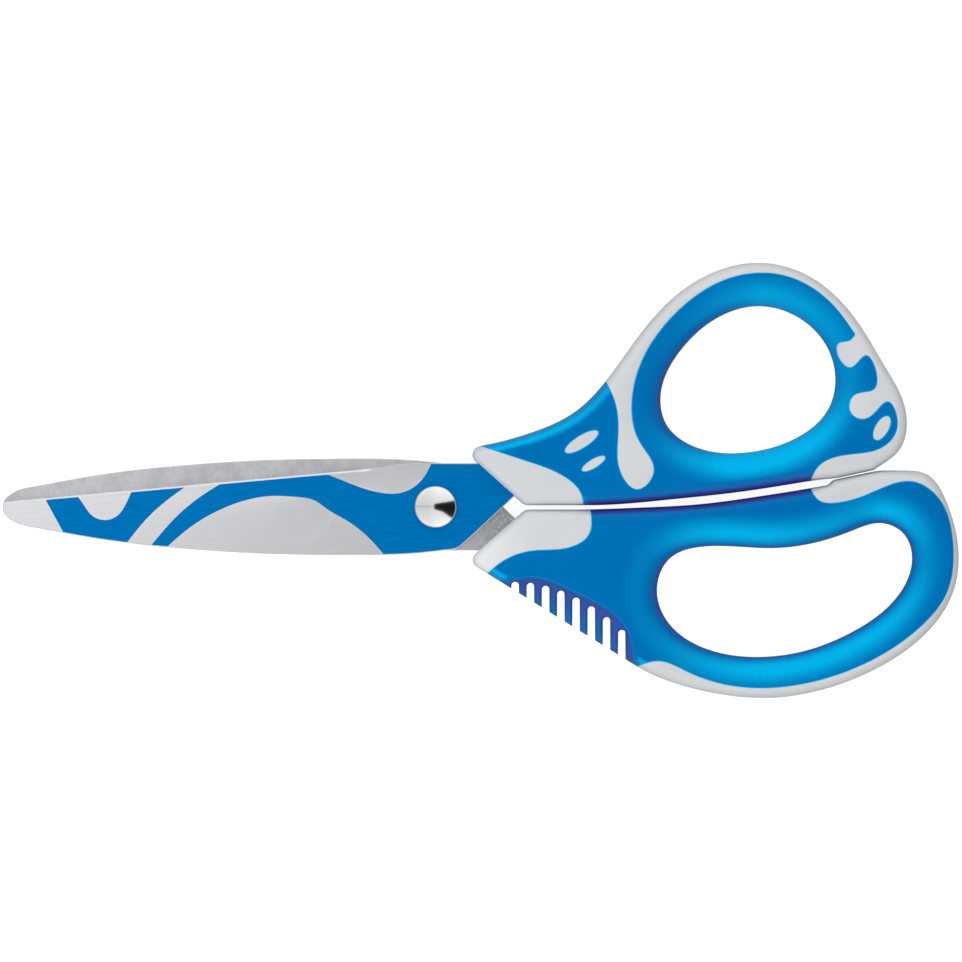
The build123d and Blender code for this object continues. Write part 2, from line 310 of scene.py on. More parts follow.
THUMB_BROW = curve(
    [(32.5, -2.0), (31.8, 3.1), (27.4, 7.1), (20.3, 9.9), (13.3, 12.2), (7.0, 14.3)], step=0.2
)
THUMB_DRIP = curve(
    [
        (36.9, 28.6), (39.6, 22.6), (40.1, 14.5), (40.6, 7.9), (44.4, 3.9), (47.8, 7.4),
        (44.9, 14.0), (43.0, 21.9), (44.6, 30.5), (52.4, 42.3), (64.9, 50.4), (76.8, 50.8),
        (87.4, 44.3), (92.2, 37.9),
    ],
    step=0.2,
)
THUMB_BLOTS = curve(
    [
        (92.2, 37.9), (91.0, 36.5), (88.6, 35.9), (88.8, 32.6), (91.2, 30.7), (94.3, 33.3),
        (96.9, 29.3), (96.2, 25.7), (91.9, 24.4), (91.2, 20.8), (94.3, 19.4), (99.3, 23.2),
        (101.5, 18.2), (97.7, 12.8), (88.3, 11.0), (83.9, 8.6), (82.2, 4.6),
    ],
    step=0.2,
)


def ellipse(centre, half_length, half_width, turn, count=60):
    """Points round an ellipse whose long axis is turned by degrees."""
    angle = np.linspace(0, 2 * np.pi, count, endpoint=False)
    long_axis = np.array([math.cos(math.radians(turn)), math.sin(math.radians(turn))])
    short_axis = np.array([-long_axis[1], long_axis[0]])
    lengthwise = np.outer(np.cos(angle) * half_length, long_axis)
    return lengthwise + np.outer(np.sin(angle) * half_width, short_axis) + centre


THUMB_WINDOWS = [
    ellipse((32.1, 14.3), 4.2, 1.3, 32),
    ellipse((34.7, 9.5), 2.9, 0.9, 31),
    ellipse((98.0, 17.3), 2.9, 1.4, 60),
]
THUMB_SOFT = loop(THUMB_BROW, (8.0, 20.0), (28.0, 27.0), THUMB_DRIP, THUMB_BLOTS, (82.2, 0.0), step=0.2)

FINGER_UNDER = curve(
    [
        (44.1, -35.0), (52.3, -38.7), (60.8, -40.9), (74.8, -41.98), (85.9, -40.0), (98.1, -35.0),
        (108.5, -27.2), (113.9, -18.6), (115.0, -9.5), (112.6, 0.6), (107.8, 7.3), (102.2, 8.0),
        (96.0, 7.7),
    ],
    start=(1, -0.62),
    end=(-1, -0.21),
)
FINGER_STEP = curve(
    [(88.3, 6.08), (87.3, 5.78), (86.6, 5.1), (85.6, 4.66)], start=(-0.979, -0.206), end=(-1, -0.17)
)
FINGER_UPPER = curve(
    [(85.6, 4.66), (79.7, 3.65), (71.4, 2.35), (58.2, 0.6), (44.0, -0.2), (30.0, -0.6)],
    start=(-1, -0.17),
    end=(-1, 0),
)
FINGER_OUTLINE = loop(
    FINGER_UNDER,
    FINGER_STEP,
    FINGER_UPPER,
    corner((30.0, -0.6), (19.7, -0.6), (6.93, -11.93), 2.5),
    corner((19.7, -0.6), (6.93, -11.93), (44.1, -35.0), 1.8),
)
FINGER_LOOP = curve(
    [
        (104.8, -11.2), (102.9, -5.9), (98.0, -3.6), (91.8, -5.2), (83.9, -7.8), (73.7, -9.1),
        (58.5, -8.8), (51.6, -11.3), (48.7, -18.7), (51.8, -26.2), (60.7, -31.6), (71.4, -33.0),
        (81.8, -31.5), (92.0, -27.3), (101.4, -19.9),
    ],
    closed=True,
)
FINGER_BROW = curve(
    [(9.8, -16.2), (14.4, -12.1), (21.0, -9.6), (29.1, -8.9), (33.4, -6.4), (33.7, 0.8)], step=0.2
)
FINGER_RIM = curve(
    [
        (82.0, 5.4), (84.2, 1.5), (89.0, 1.1), (95.7, 3.2), (104.9, 5.6), (110.5, 2.0),
        (113.6, -7.0), (112.2, -19.1), (105.7, -27.1), (93.1, -35.0), (80.7, -38.9), (68.3, -39.7),
        (55.2, -36.2), (49.1, -33.9), (42.6, -36.0),
    ],
    step=0.2,
)
FINGER_SOFT = loop(
    FINGER_BROW, (33.7, 4.0), (82.0, 9.0), FINGER_RIM, (41.0, -39.0), (8.0, -20.0), step=0.2
)

COMB_COUNT = 8
COMB_PITCH = 3.35
COMB_START = 17.5
COMB_HALF_WIDTH = 0.825
COMB_TOP = -16.5
COMB_FALL = 0.215
COMB_FOOT = -40.0


def comb_slots():
    """Round-topped slots side by side. Their tops fall away as the square of the slot's number."""
    angle = np.linspace(0, np.pi, 17)
    cap = COMB_HALF_WIDTH * np.c_[np.cos(angle), np.sin(angle) - 1]
    slots = []
    for number in range(COMB_COUNT):
        x = COMB_START + number * COMB_PITCH
        top = COMB_TOP - COMB_FALL * number**2
        feet = [(x - COMB_HALF_WIDTH, COMB_FOOT), (x + COMB_HALF_WIDTH, COMB_FOOT)]
        slots.append(loop(cap + [x, top], *feet, step=0.25))
    return slots


COMB = comb_slots()
SCOOP_EDGE = curve(
    [(12.0, -18.0), (17.0, -15.9), (21.4, -15.2), (31.1, -18.7), (38.5, -22.6), (42.6, -27.5), (43.8, -34.0)]
)
SCOOP = loop(SCOOP_EDGE, (46.0, -45.0), (8.0, -30.0))


# ------------------------------------------------------------------ handle surfaces

SEAM_RADIUS = 0.07
SEAM_HIGHLIGHT_WIDTH = 0.3  # width of the painted highlight along a seam
COMB_ROUND = 0.7
RIM_REACH = 3.4  # how far rows of corners run in from a handle's outline
EYE_REACH = 6.0  # and out from its loop
SMALL_SEAM = 80  # a seam with fewer points than this has closer rows
SEAM_ROWS = [0.02, 0.045, SEAM_RADIUS, 0.14, SEAM_HIGHLIGHT_WIDTH, 0.42]
FOLD_ROWS = [0.08, 0.25, 0.55, 1.0, 1.6, 2.4]
COMB_ROWS = COMB_ROUND * np.array([0.12, 0.35, 0.65, 1.0])


def beside(line, offsets, spacing):
    """Spots in rows on both sides of an edge, kept where the edge itself is their nearest point of it."""
    kept = []
    for offset in [*offsets, *(-np.array(offsets))]:
        row = rows(line, [offset], spacing)
        kept.append(row[np.abs(distance(row, [line]) - abs(offset)) < 0.03 * abs(offset) + 0.004])
    return np.vstack(kept)


def grid_spots(outline, pitch):
    """A triangular grid of spots over an outline's box."""
    low, high = outline.min(axis=0), outline.max(axis=0)
    x, y = np.meshgrid(np.arange(low[0], high[0], pitch), np.arange(low[1], high[1], pitch * 0.866))
    x = x + pitch / 2 * (np.arange(len(y)) % 2)[:, None]
    return np.c_[x.ravel(), y.ravel()]


def rounding_steps(reach, count):
    """Offsets inside an edge, closest together where its rounding is steepest."""
    return reach * (1 - np.cos(np.linspace(0, np.pi / 2, count + 1)[1:]))


def handle_plan(outline, hole, seams, cuts, folds):
    """Triangles over a whole handle, with rows of corners along its edges, seams, slots and folds."""
    rim, eye = closed(outline), closed(hole)
    slots = [closed(cut) for cut in cuts]
    by_rim = beside(rim, rounding_steps(RIM_REACH, 9), 0.55)
    by_eye = beside(eye, rounding_steps(EYE_REACH, 12), 0.6)
    by_seam = np.vstack([beside(seam, SEAM_ROWS, 0.15 if len(seam) < SMALL_SEAM else 0.4) for seam in seams])
    field = grid_spots(outline, 0.85)
    by_rim = by_rim[distance(by_rim, seams) > 0.45]
    by_eye = by_eye[(distance(by_eye, seams) > 0.45) & (distance(by_eye, [rim]) > RIM_REACH)]
    by_seam = by_seam[distance(by_seam, [rim]) > 0.12]
    field = field[distance(field, seams) > 0.65]
    field = field[(distance(field, [rim]) > RIM_REACH + 0.4) & (distance(field, [eye]) > EYE_REACH + 0.4)]
    spots = [by_rim, by_eye, by_seam, field]
    if folds:
        spots = [group[distance(group, folds) > 0.3] for group in spots[:3]]
        spots.append(field[distance(field, folds) > 3.2])
        spots.append(np.vstack([beside(fold, FOLD_ROWS, 0.5) for fold in folds]))
    if slots:
        spots = [group[distance(group, slots) > 0.85] for group in spots]
        spots.append(np.vstack([beside(slot, COMB_ROWS, 0.4) for slot in slots]))
    spots = np.vstack(spots)
    within = inside(spots, outline) & ~inside(spots, hole)
    return triangulate([rim, eye, *seams, *slots, *folds], spots[within])


INNER_REACH = 9.0
OUTER_REACH = 2.5
WEB_REACH = 0.8  # how much further the outer rounding goes in on the thumb handle's web
SCOOP_DEPTH = 3.1
SCOOP_REACH = 7.0
NOSE_SHARE = 0.82  # of half the thickness, at the nose
CROWN_X = 8, 46  # where the crown starts to rise and where it is full, mm behind the pivot


def handle_height(corners, outline, hole, scoop):
    """Half the handle's thickness at each corner, before its seams.

    It is a crown that falls away towards the nose and into the scoop, times a quarter ellipse in from the
    outline and a longer one out from the loop.
    """
    crown = HALF_THICK * (NOSE_SHARE + 0.175 * smooth(corners[:, 0], *CROWN_X))
    if scoop is not None:
        depth = np.where(inside(corners, scoop), distance(corners, [closed(scoop)]), 0)
        crown = crown - SCOOP_DEPTH * quarter(depth, SCOOP_REACH, 1.6) * smooth(depth, -0.4, 1.2)
    outer_reach = OUTER_REACH + WEB_REACH * smooth(corners[:, 1], 12, 16) * smooth(corners[:, 0], 44, 36)
    outer = quarter(distance(corners, [closed(outline)]), outer_reach, 2.5)
    inner = quarter(distance(corners, [closed(hole)]), INNER_REACH, 1.95)
    return crown * outer * inner


# Strengths of the light and shade painted into the grip's blue: a painted highlight along the seams, painted
# shade beside the slot, in the scoop and on rear slopes, and a painted highlight down the comb's teeth.
PAINTED_SEAM_HIGHLIGHT = 0.7
PAINTED_SLOT_SHADE = -0.9
PAINTED_SCOOP_SHADE = -0.72  # painted shade just inside the scoop's edge
SCOOP_FLOOR_LESS_SHADE = 0.3  # and how much less painted shade on its floor
PAINTED_TOOTH_HIGHLIGHT = 0.3
PAINTED_REAR_SHADE = 0.5


def painted_handle_shading(corners, normal, hole, seams, cuts, slot_side, wall_shade, scoop):
    """Light and shade painted into the rubber's blue, from 1, a painted highlight, to -1, painted shade.

    It is painted lighter where it slopes to either side or to the front and in a thin band along a seam, and
    painted deeper where it slopes to the rear, down the loop's wall, beside the slot between the handles, and
    in the scoop. The comb's teeth get a little painted highlight down their middles.
    """
    lean = np.hypot(normal[:, 0], normal[:, 1])
    sideways = np.abs(normal[:, 1]) / np.maximum(lean, 1e-6)
    rearward = np.clip(normal[:, 0] / np.maximum(lean, 1e-6), 0, 1)
    by_hole = distance(corners, [closed(hole)])
    # painted highlight on slopes that face either side or the front
    painted_shading = smooth(lean, 0.09, 0.52) * (0.3 + 0.7 * sideways**1.5) * (1 - rearward**0.8)
    painted_shading = painted_shading * (1 + 0.2 * smooth(normal[:, 1], 0.0, 0.35) * smooth(by_hole, 10, 8))
    painted_shading = painted_shading * (1 - 0.3 * smooth(-normal[:, 1], 0.0, 0.3) * smooth(corners[:, 1], 25, 38))
    painted_shading = painted_shading * (1 - 0.65 * smooth(lean, 0.6, 0.95) * smooth(by_hole, 5.0, 7.0))
    # painted shade down the loop's wall
    painted_shading = painted_shading * (1 - wall_shade * smooth(lean, 0.5, 0.95) * smooth(by_hole, 6.0, 3.0))
    painted_shading = painted_shading - 0.4 * wall_shade * smooth(lean, 0.8, 0.98) * smooth(by_hole, 3.0, 1.0)
    painted_shading = painted_shading + 0.22 * wall_shade * rearward * smooth(by_hole, 9.0, 5.0) * smooth(by_hole, 1.5, 4.0)
    # painted shade on steep slopes that face the rear
    painted_shading = painted_shading - PAINTED_REAR_SHADE * smooth(lean, 0.55, 0.97) * rearward**1.5
    by_slot = distance(corners, [slot_side])
    # painted shade beside the slot between the handles
    painted_shading = painted_shading + (PAINTED_SLOT_SHADE - painted_shading) * smooth(by_slot, 2.8, 0.35)
    if scoop is not None:
        from_scoop = distance(corners, [closed(scoop)])
        depth = np.where(inside(corners, scoop), from_scoop, 0)
        painted_shading = np.where(depth > 0, painted_shading, painted_shading * smooth(from_scoop, 0.1, 1.4))
        # painted shade in the scoop, a little less on its floor
        scoop_shade = PAINTED_SCOOP_SHADE + SCOOP_FLOOR_LESS_SHADE * smooth(depth, 2, 7)
        painted_shading = painted_shading + (scoop_shade - painted_shading) * smooth(depth, 0, 0.5)
        by_cut = distance(corners, cuts)
        # painted highlight down the middle of each comb tooth
        tooth_highlight = smooth(by_cut, 0.45, 0.8) * smooth(by_cut, 1.3, 0.9)
        painted_shading = painted_shading + PAINTED_TOOTH_HIGHLIGHT * tooth_highlight * smooth(depth, 3, 5)
    # painted highlight in a thin band along each seam
    seam_highlight = smooth(distance(corners, seams), SEAM_HIGHLIGHT_WIDTH, 0.1)
    return np.clip(painted_shading + np.maximum(PAINTED_SEAM_HIGHLIGHT - painted_shading, 0) * seam_highlight, -1, 1)


def handle_pair(name, outline, hole, soft, seams, windows, cuts, scoop, slot_side, wall_shade):
    """Makes a handle's hard core and soft grip as two closed bodies that meet along its seams."""
    seams = [*seams, *(closed(window) for window in windows)]
    corners, triangles = handle_plan(outline, hole, seams, cuts, [] if scoop is None else [SCOOP_EDGE])
    rise = handle_height(corners, outline, hole, scoop)
    middle = corners[triangles].mean(axis=1)
    within = inside(middle, outline) & ~inside(middle, hole)
    normal = facing(corners, triangles[within], rise)
    # light and shade painted into the grip's colour, worked out from its slopes
    painted_shading = painted_handle_shading(corners, normal, hole, seams, cuts, slot_side, wall_shade, scoop)
    rise = rise - np.minimum(groove(distance(corners, seams), SEAM_RADIUS), rise * 0.6)
    if cuts:
        by_cut = distance(corners, [closed(cut) for cut in cuts])
        rise = rise - np.minimum(groove(by_cut, COMB_ROUND), rise * 0.6)
    rise = np.maximum(rise, 0)
    softness = inside(middle, soft)
    for window in windows:
        softness &= ~inside(middle, window)
    for cut in cuts:
        within &= ~inside(middle, cut)
    # painted highlight: the white core is painted paler towards the lower nose
    painted_nose_highlight = smooth(corners[:, 0], 24, 9) * smooth(corners[:, 1], 2, -9)
    top, bottom = MIDDLE + rise, MIDDLE - rise
    return [
        build(f"{name}_{part}_moulding", corners, triangles, within & chosen, top, bottom, shade)
        for part, chosen, shade in (("core", ~softness, painted_nose_highlight), ("grip", softness, painted_shading))
    ]


thumb_core, thumb_grip = handle_pair(
    "thumb_handle",
    THUMB_OUTLINE,
    THUMB_LOOP,
    THUMB_SOFT,
    [THUMB_BROW, THUMB_DRIP, THUMB_BLOTS],
    THUMB_WINDOWS,
    [],
    None,
    THUMB_UNDER[THUMB_UNDER[:, 0] > 30],
    0.25,
)
finger_core, finger_grip = handle_pair(
    "finger_handle",
    FINGER_OUTLINE,
    FINGER_LOOP,
    FINGER_SOFT,
    [FINGER_BROW, FINGER_RIM],
    [],
    COMB,
    SCOOP,
    FINGER_UPPER[FINGER_UPPER[:, 0] > 30],
    0.9,
)


# ------------------------------------------------------------------ blades

BLADE_THICK = 1.7
BLADE_GAP = 0.1
BACK_TOP = MIDDLE - BLADE_GAP / 2
BACK_BOTTOM = BACK_TOP - BLADE_THICK
FRONT_BOTTOM = MIDDLE + BLADE_GAP / 2
FRONT_TOP = FRONT_BOTTOM + BLADE_THICK
BEVEL_FACE = 0.38  # cutting bevel, across the face
BEVEL_DEPTH = 0.3  # and through the thickness
SPINE_ROUND = 0.16
BURR_ROUND = 0.07  # inner face's rounding
SHANK_RADIUS = 2.5
RUNNING_FIT = 0.05


def arc(first, through, last, step=0.15):
    """The arc through three points. Its centre is where the chords' perpendicular bisectors cross."""
    first, through, last = (np.array(p, float) for p in (first, through, last))
    chords = np.array([through - first, last - first])
    centre = np.linalg.solve(chords, (chords * (chords / 2 + first)).sum(axis=1))
    radius = np.hypot(*(first - centre))
    turns = [math.atan2(*(p - centre)[::-1]) for p in (first, through, last)]
    ahead = [(turn - turns[0]) % (2 * math.pi) for turn in turns]
    sweep = ahead[2] if ahead[1] < ahead[2] else ahead[2] - 2 * math.pi
    angle = turns[0] + np.linspace(0, sweep, max(int(abs(sweep) * radius / step), 6) + 1)
    return centre + radius * np.c_[np.cos(angle), np.sin(angle)]


BLADE_SPINE = curve(
    [
        (-94.0, 2.4), (-92.3, 3.5), (-89.0, 4.4), (-73.8, 7.1), (-56.2, 9.1), (-38.6, 10.25),
        (-21.0, 10.6), (-3.4, 10.15), (4.0, 9.3),
    ]
)
BLADE_SHOULDER = curve(
    [(4.0, 9.3), (6.3, 7.9), (8.2, 6.2)], start=BLADE_SPINE[-1] - BLADE_SPINE[-2], end=(1, -0.93)
)
BLADE_HEEL = curve([(-4.0, -9.6), (-7.8, -9.4), (-12.0, -8.75), (-16.7, -8.12)])
CUTTING_EDGE = np.array([(-16.7, -8.12), (-94.7, -1.1)])
BLADE_OUTLINE = loop(
    arc((-94.7, -1.1), (-95.14, 0.5), (-94.0, 2.4)),
    BLADE_SPINE,
    BLADE_SHOULDER,
    (17.6, -2.6), (23.0, -5.0),
    arc((38.0, -9.0), (40.6, -12.3), (37.4, -15.0)),
    (14.0, -10.9), (10.0, -9.6),
    BLADE_HEEL,
)

# Areas of blue lacquer on the upper blade, drawn past the blade's outline where they reach it.
LEAF_PRINT = loop(
    [(-85.1, 4.2), (-85.7, 1.5), (-82.0, -5.3), (-79.8, -9.4), (-71.5, -12.0)],
    curve([(-67.6, -7.6), (-63.4, -2.5), (-59.7, 0.9), (-55.1, 4.3), (-52.0, 6.4)]),
    [(-60.0, 9.0), (-65.6, 6.0)],
    curve(
        [(-66.9, 3.2), (-68.1, 0.6), (-69.9, -1.9), (-72.7, -2.9), (-75.5, -1.9), (-77.3, 0.4), (-78.6, 2.2)]
    ),
    [(-80.0, 4.2)],
)
BODY_PRINT = loop(
    [(-66.0, -12.0)],
    curve([(-62.4, -8.3), (-56.5, -1.7), (-52.3, 1.8), (-47.2, 5.1), (-44.0, 7.0)]),
    [(-40.0, 12.0), (-28.0, 12.0)],
    curve(
        [
            (-26.6, 8.2), (-23.9, 7.2), (-20.4, 5.8), (-15.7, 4.0), (-12.0, 3.1), (-8.8, 2.9),
            (-5.5, 3.9), (-2.8, 6.2), (-0.9, 9.6),
        ]
    ),
    [(-0.5, 12.0), (42.0, 18.0), (42.0, -14.0), (-10.0, -14.0)],
    curve(
        [
            (-11.5, -10.3), (-14.8, -6.7), (-19.4, -3.1), (-24.1, -0.3), (-26.4, 1.3),
            (-31.0, 2.2), (-35.6, 2.4), (-40.3, 1.8), (-44.9, 0.4), (-49.5, -1.7), (-54.2, -4.7),
            (-58.8, -8.6),
        ]
    ),
    [(-61.0, -12.0)],
)
STEEL, LACQUER, GROUND = range(3)  # the finishes of a blade, in the order of its materials
BLADE_ROWS = [0.02, 0.05, 0.1, 0.26, 0.6]


def blade(name, turn, outer, inner, hole_radius):
    """A stamped blade: its outline, mirrored where turn is -1, between an outer and an inner face.

    The outer face falls along the cutting edge as a straight bevel, and every other edge is slightly
    rounded. Returns the body with its lacquered and ground faces marked.
    """
    outline, edge = BLADE_OUTLINE * [1, turn], CUTTING_EDGE * [1, turn]
    prints = [LEAF_PRINT * [1, -turn], BODY_PRINT * [1, -turn]]
    along = (edge[1] - edge[0]) / np.hypot(*(edge[1] - edge[0]))
    across = np.array([along[1], -along[0]]) * turn
    bevel_line = evenly(np.array([edge[0] - along * 4, edge[1] + along * 2]) + across * BEVEL_FACE, 0.5)
    angle = np.linspace(0, 2 * np.pi, 48, endpoint=False)
    hole = closed(hole_radius * np.c_[np.cos(angle), np.sin(angle)])
    flat_line = rows(closed(outline), [-turn * SPINE_ROUND], 0.4)
    field = grid_spots(outline, 1.3)
    rim = closed(outline)
    spots = np.vstack([beside(rim, BLADE_ROWS, 0.4), field[distance(field, [rim, hole]) > 1.0]])
    spots = spots[inside(spots, outline) & (distance(spots, [hole, flat_line, bevel_line]) > 0.03)]
    edges = [rim, flat_line, bevel_line, hole, *(closed(shape) for shape in prints)]
    corners, triangles = triangulate(edges, spots)
    from_edge = (corners - edge[0]) @ across
    on_bevel = (from_edge < BEVEL_FACE) & (corners[:, 0] < edge[0][0] + 3)
    fade = smooth(corners[:, 0], edge[0][0] + 3, edge[0][0])
    drop = np.where(on_bevel, BEVEL_DEPTH * fade * np.clip(1 - from_edge / BEVEL_FACE, 0, 1), 0)
    gap = distance(corners, [rim])
    keen = distance(corners, [edge]) <= gap + 1e-6
    drop = np.where(keen, drop, np.maximum(drop, groove(gap, SPINE_ROUND)))
    burr = np.where(keen, 0, groove(gap, BURR_ROUND))
    middle = corners[triangles].mean(axis=1)
    keep = inside(middle, outline) & ~inside(middle, hole)
    up = np.sign(outer - inner)
    outer_skin, inner_skin = outer - up * drop, inner + up * burr
    top, bottom = (outer_skin, inner_skin) if up > 0 else (inner_skin, outer_skin)
    piece = build(name, corners, triangles, keep, top, bottom, sharp=30)
    count = len(piece.data.polygons)
    centre, normal = np.empty(count * 3), np.empty(count * 3)
    piece.data.polygons.foreach_get("center", centre)
    piece.data.polygons.foreach_get("normal", normal)
    centre, normal = centre.reshape(-1, 3) / MM, normal.reshape(-1, 3)
    plan = centre[:, :2] - PIVOT[:2] / MM
    clear = ((plan - edge[0]) @ across > BEVEL_FACE) | (plan[:, 0] > edge[0][0] + 3)
    clear &= distance(plan, [rim]) > SPINE_ROUND
    printed = (inside(plan, prints[0]) | inside(plan, prints[1])) & clear
    finish = np.full(count, STEEL)
    finish[(normal[:, 2] * up > 0.7) & printed] = LACQUER
    finish[normal[:, 2] * up < -0.4] = GROUND
    piece.data.polygons.foreach_set("material_index", finish)
    return piece


front_blade = blade("front_blade_steel", -1, FRONT_TOP, FRONT_BOTTOM, SHANK_RADIUS + RUNNING_FIT)
back_blade = blade("back_blade_steel", 1, BACK_BOTTOM, BACK_TOP, SHANK_RADIUS + RUNNING_FIT / 2)


# ------------------------------------------------------------------ pivot screw

HEAD_RADIUS = 4.6
HEAD_SEAT = FRONT_TOP + RUNNING_FIT
HEAD_TOP = HEAD_SEAT + 1.9
HEAD_RIM = 0.5
THREAD_RADIUS = 2.0
WASHER_BOTTOM = BACK_BOTTOM - 0.45
SCREW_END = WASHER_BOTTOM - 1.1


def turned(name, profile, steps=128):
    """A profile of (radius, height) rows turned about the pivot axis. Its two ends lie on the axis."""
    profile = np.array(profile)
    angle = np.linspace(0, 2 * np.pi, steps, endpoint=False)
    ring = np.c_[np.cos(angle), np.sin(angle)]
    rings = profile[1:-1, 0, None, None] * ring
    heights = np.repeat(profile[1:-1, 1], steps)
    poles = [[0, 0, profile[0, 1]], [0, 0, profile[-1, 1]]]
    places = np.vstack([np.c_[rings.reshape(-1, 2), heights], poles])
    here = np.arange(steps)
    after = np.roll(here, -1)
    row = np.arange(len(profile) - 3)[:, None] * steps
    quads = np.stack([row + here, row + steps + here, row + steps + after, row + after], axis=2)
    last = (len(profile) - 3) * steps
    first_pole = np.c_[np.full(steps, len(places) - 2), here, after]
    last_pole = np.c_[np.full(steps, len(places) - 1), last + after, last + here]
    faces = quads.reshape(-1, 4).tolist() + first_pole.tolist() + last_pole.tolist()
    mesh = bpy.data.meshes.new(name)
    mesh.from_pydata((places * MM + [PIVOT[0], PIVOT[1], 0]).tolist(), [], faces)
    return finished(name, mesh)


def screw_profile():
    """From the top: a spherical crown, a small rounding at the rim, the seat, the shank and the thread."""
    rise = HEAD_TOP - HEAD_SEAT - HEAD_RIM
    crown_radius = (HEAD_RADIUS**2 + rise**2) / (2 * rise)
    reach = np.linspace(0, math.asin((HEAD_RADIUS - 0.1) / crown_radius), 26)
    crown = np.c_[crown_radius * np.sin(reach), HEAD_TOP - crown_radius * (1 - np.cos(reach))]
    rim_height = crown[-1, 1] - 0.12
    turn = np.linspace(math.radians(56), 0, 6)
    rim = np.c_[HEAD_RADIUS - 0.2 * (1 - np.cos(turn)), rim_height - 0.06 + 0.15 * np.sin(turn)]
    below = [
        (HEAD_RADIUS, HEAD_SEAT + 0.15),
        (HEAD_RADIUS - 0.04, HEAD_SEAT + 0.04),
        (HEAD_RADIUS - 0.15, HEAD_SEAT),
        (SHANK_RADIUS, HEAD_SEAT),
        (SHANK_RADIUS, WASHER_BOTTOM),
        (THREAD_RADIUS, WASHER_BOTTOM),
        (THREAD_RADIUS, SCREW_END + 0.25),
        (THREAD_RADIUS - 0.25, SCREW_END),
        (0, SCREW_END),
    ]
    return np.vstack([crown, rim, below])


screw = turned("pivot_screw_turned", screw_profile())


# ------------------------------------------------------------------ shared effects


def add(tree, kind, inputs=(), **settings):
    """Adds a node with these settings, and fills its inputs from plain values or other nodes' outputs."""
    node = tree.nodes.new("ShaderNode" + kind)
    for key, value in settings.items():
        setattr(node, key, value)
    for key, value in dict(inputs).items():
        if isinstance(value, bpy.types.NodeSocket):
            tree.links.new(value, node.inputs[key])
        else:
            node.inputs[key].default_value = value
    return node


def effect(name, settings, outputs):
    """An empty node group that takes a vector and some numbers, with its input and output nodes."""
    group = bpy.data.node_groups.new(name, "ShaderNodeTree")
    group.interface.new_socket("Vector", in_out="INPUT", socket_type="NodeSocketVector")
    for socket, value in settings.items():
        made = group.interface.new_socket(socket, in_out="INPUT", socket_type="NodeSocketFloat")
        made.default_value = value
    for socket in outputs:
        group.interface.new_socket(socket, in_out="OUTPUT", socket_type="NodeSocketFloat")
    return group, group.nodes.new("NodeGroupInput"), group.nodes.new("NodeGroupOutput")


def maths(tree, operation, first, second=None):
    """One sum on numbers or sockets."""
    given = {0: first} if second is None else {0: first, 1: second}
    return add(tree, "Math", given, operation=operation).outputs[0]


def noise(tree, vector, scale, detail, roughness):
    """Soft noise, whose scale is in turns to the metre."""
    given = {"Vector": vector, "Scale": scale, "Detail": detail, "Roughness": roughness}
    return add(tree, "TexNoise", given).outputs["Fac"]


def span(tree, value, low, high, out_low=0.0, out_high=1.0):
    """Carries a value from one range to another and keeps it within the second."""
    given = {"Value": value, "From Min": low, "From Max": high, "To Min": out_low, "To Max": out_high}
    return add(tree, "MapRange", given).outputs[0]


def moulded_skin():
    """The fine sparked texture of a mould, over the slow unevenness of a thick moulding that has sunk."""
    group, given, made = effect("moulded skin", {"Grain size": 2600.0, "Sink": 0.3}, ["Height", "Unevenness"])
    place = given.outputs["Vector"]
    grain = noise(group, place, given.outputs["Grain size"], 2.0, 0.6)
    slow = noise(group, place, 70.0, 2.0, 0.5)
    sunk = maths(group, "MULTIPLY", slow, given.outputs["Sink"])
    group.links.new(maths(group, "ADD", grain, sunk), made.inputs["Height"])
    group.links.new(span(group, slow, 0.35, 0.65), made.inputs["Unevenness"])
    return group


def grinding_lines():
    """Scratches along X of the given vector: a fine and a coarse noise, both drawn out lengthwise."""
    group, given, made = effect("grinding lines", {"Length": 0.02}, ["Height", "Streaks"])
    parts = add(group, "SeparateXYZ", {0: given.outputs["Vector"]})
    drawn_out = maths(group, "MULTIPLY", parts.outputs["X"], given.outputs["Length"])
    stretched = {"X": drawn_out, "Y": parts.outputs["Y"], "Z": parts.outputs["Z"]}
    place = add(group, "CombineXYZ", stretched).outputs[0]
    fine = noise(group, place, 9000.0, 2.0, 0.7)
    coarse = noise(group, place, 2200.0, 3.0, 0.6)
    both = add(group, "Mix", {"Factor": 0.45, "A": fine, "B": coarse}).outputs["Result"]
    group.links.new(both, made.inputs["Height"])
    group.links.new(span(group, coarse, 0.38, 0.64), made.inputs["Streaks"])
    return group


def handling():
    """Faint finger marks in broad patches, and sparse specks."""
    group, given, made = effect("handling", {"Specks": 0.5}, ["Marks", "Specks"])
    place = given.outputs["Vector"]
    patches = span(group, noise(group, place, 55.0, 4.0, 0.6), 0.42, 0.68)
    swirl = span(group, noise(group, place, 420.0, 2.0, 0.5), 0.35, 0.65)
    group.links.new(maths(group, "MULTIPLY", patches, swirl), made.inputs["Marks"])
    specks = span(group, noise(group, place, 1500.0, 1.0, 0.5), 0.72, 0.8)
    group.links.new(maths(group, "MULTIPLY", specks, given.outputs["Specks"]), made.inputs["Specks"])
    return group


SKIN = moulded_skin()
LINES = grinding_lines()
HANDLING = handling()


# ------------------------------------------------------------------ finishes


def finish_of(name, **constants):
    """A new material with one Principled shader, whose plain sockets are set here."""
    material = bpy.data.materials.new(name)
    material.use_nodes = True
    shader = material.node_tree.nodes["Principled BSDF"]
    for key, value in constants.items():
        shader.inputs[key.replace("_", " ")].default_value = value
    place = material.node_tree.nodes.new("ShaderNodeTexCoord").outputs["Object"]
    return material, material.node_tree, shader, place


def use(tree, group, inputs):
    return add(tree, "Group", inputs, node_tree=group)


